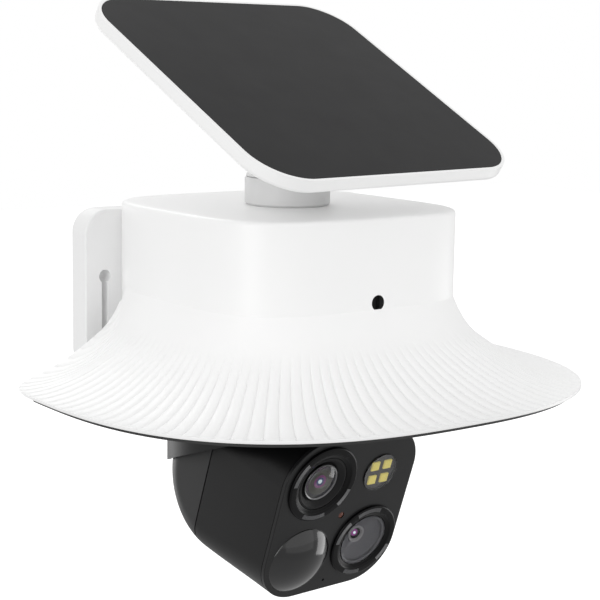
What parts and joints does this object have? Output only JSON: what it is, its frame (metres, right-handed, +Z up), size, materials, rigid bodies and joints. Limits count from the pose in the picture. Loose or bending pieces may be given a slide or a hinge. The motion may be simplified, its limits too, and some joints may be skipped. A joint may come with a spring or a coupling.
{
  "type": "solar security camera",
  "caption": "Wall-mounted outdoor camera: fluted housing with a tilting solar panel on a swivel above and a pan-tilt head with two lenses below.",
  "frame": {"origin": "midway between the two keyholes, on the wall plane (the back face of the wall plate)", "axes": "+Z up, +Y into the wall, so the camera looks along -Y; +X to the right of somebody who faces the wall"},
  "size_m": [0.26, 0.1975, 0.2761],
  "materials": {
    "white_plastic": "satin",
    "black_gloss": "gloss",
    "black_plastic": "satin",
    "grey_plastic": "satin",
    "rubber": "matte",
    "steel": "satin",
    "board": "satin",
    "cell_wrap": "satin",
    "solar": "gloss",
    "clear_glass": "polished",
    "lens_glass": "polished",
    "clear_plastic": "polished",
    "white_dome": "gloss",
    "led_yellow": "gloss",
    "motor_metal": "satin",
    "bearing_resin": "satin",
    "lens_ring": "satin"
  },
  "bodies": {
    "housing": {"housing_shell": "white_plastic", "wall_plate": "white_plastic", "bottom_cover": "black_plastic", "cover_seal": "rubber", "cover_screws": "steel", "plate_screws": "steel", "board_and_motor_screws": "steel", "battery_cells": "cell_wrap", "battery_tray": "black_plastic", "main_board": "board", "port_board": "board", "antennas": "board", "usb_socket": "steel", "speaker": "black_plastic", "light_sensor": "black_gloss", "pan_motor": "motor_metal", "pan_bearing": "bearing_resin", "swivel_base": "grey_plastic", "swivel_screws": "steel"},
    "swivel": {"swivel_neck": "grey_plastic", "swivel_nut": "steel"},
    "panel": {"panel_frame": "white_plastic", "solar_cells": "solar", "panel_glass": "clear_glass", "panel_bracket": "grey_plastic", "bracket_screws": "steel", "hinge_bolt": "steel", "hinge_nut": "steel"},
    "turret": {"turret_shell": "black_gloss", "tilt_yoke": "black_plastic", "turret_screws": "steel", "pan_gear": "bearing_resin", "tilt_shaft": "steel", "tilt_gear": "bearing_resin"},
    "camera_head": {"front_housing": "black_gloss", "rear_cover": "black_gloss", "head_seal": "rubber", "head_screws": "steel", "face_panel": "black_gloss", "wide_lens_ring": "lens_ring", "tele_lens_ring": "lens_ring", "wide_lens_barrel": "black_plastic", "wide_lens_glass": "lens_glass", "tele_lens_barrel": "black_plastic", "tele_lens_glass": "lens_glass", "tele_lens_element": "lens_glass", "camera_board": "board", "pir_lens": "white_dome", "pir_sensor": "steel", "led_board": "board", "led_chips": "led_yellow", "led_window": "clear_plastic", "status_led": "clear_plastic", "microphone": "steel", "tilt_motor": "motor_metal", "tilt_bushes": "bearing_resin"},
    "pan_pinion": {"pan_pinion": "bearing_resin"},
    "tilt_pinion": {"tilt_pinion": "bearing_resin"},
    "reset_button": {"reset_button": "black_plastic"},
    "port_plug": {"port_plug": "rubber"}
  },
  "joints": [
    {"name": "panel_swivel", "type": "hinge", "parent": "housing", "child": "swivel", "pos_m": [0, -0.0675, 0.041], "axis": [0, 0, 1], "range_deg": [-170, 170]},
    {"name": "panel_tilt", "type": "hinge", "parent": "swivel", "child": "panel", "pos_m": [0, -0.0675, 0.074], "axis": [0.9908, 0.1352, 0], "range_deg": [-55, 8]},
    {"name": "head_pan", "type": "hinge", "parent": "housing", "child": "turret", "pos_m": [0, -0.0675, -0.044], "axis": [0, 0, 1], "range_deg": [-170, 170]},
    {"name": "head_tilt", "type": "hinge", "parent": "turret", "child": "camera_head", "pos_m": [-0.00034, -0.06051, -0.094], "axis": [0.9988, 0.048, 0], "range_deg": [-8, 40]},
    {"name": "pan_pinion_spin", "type": "hinge", "parent": "housing", "child": "pan_pinion", "pos_m": [0, -0.1095, -0.0362], "axis": [0, 0, 1], "range_deg": [-1030, 1030]},
    {"name": "tilt_pinion_spin", "type": "hinge", "parent": "camera_head", "child": "tilt_pinion", "pos_m": [0.01298, -0.08338, -0.10198], "axis": [0.9988, 0.048, 0], "range_deg": [-36, 170]},
    {"name": "reset_press", "type": "slide", "parent": "housing", "child": "reset_button", "axis": [0, 0, 1], "range_m": [0, 0.0009], "stiffness_N_per_m": 400},
    {"name": "port_plug_pull", "type": "slide", "parent": "housing", "child": "port_plug", "axis": [0, 0, -1], "range_m": [0, 0.012]}
  ],
  "couplings": [
    {"joint": "pan_pinion_spin", "follows": "head_pan", "ratio": -6},
    {"joint": "tilt_pinion_spin", "follows": "head_tilt", "ratio": 4.1667}
  ]
}
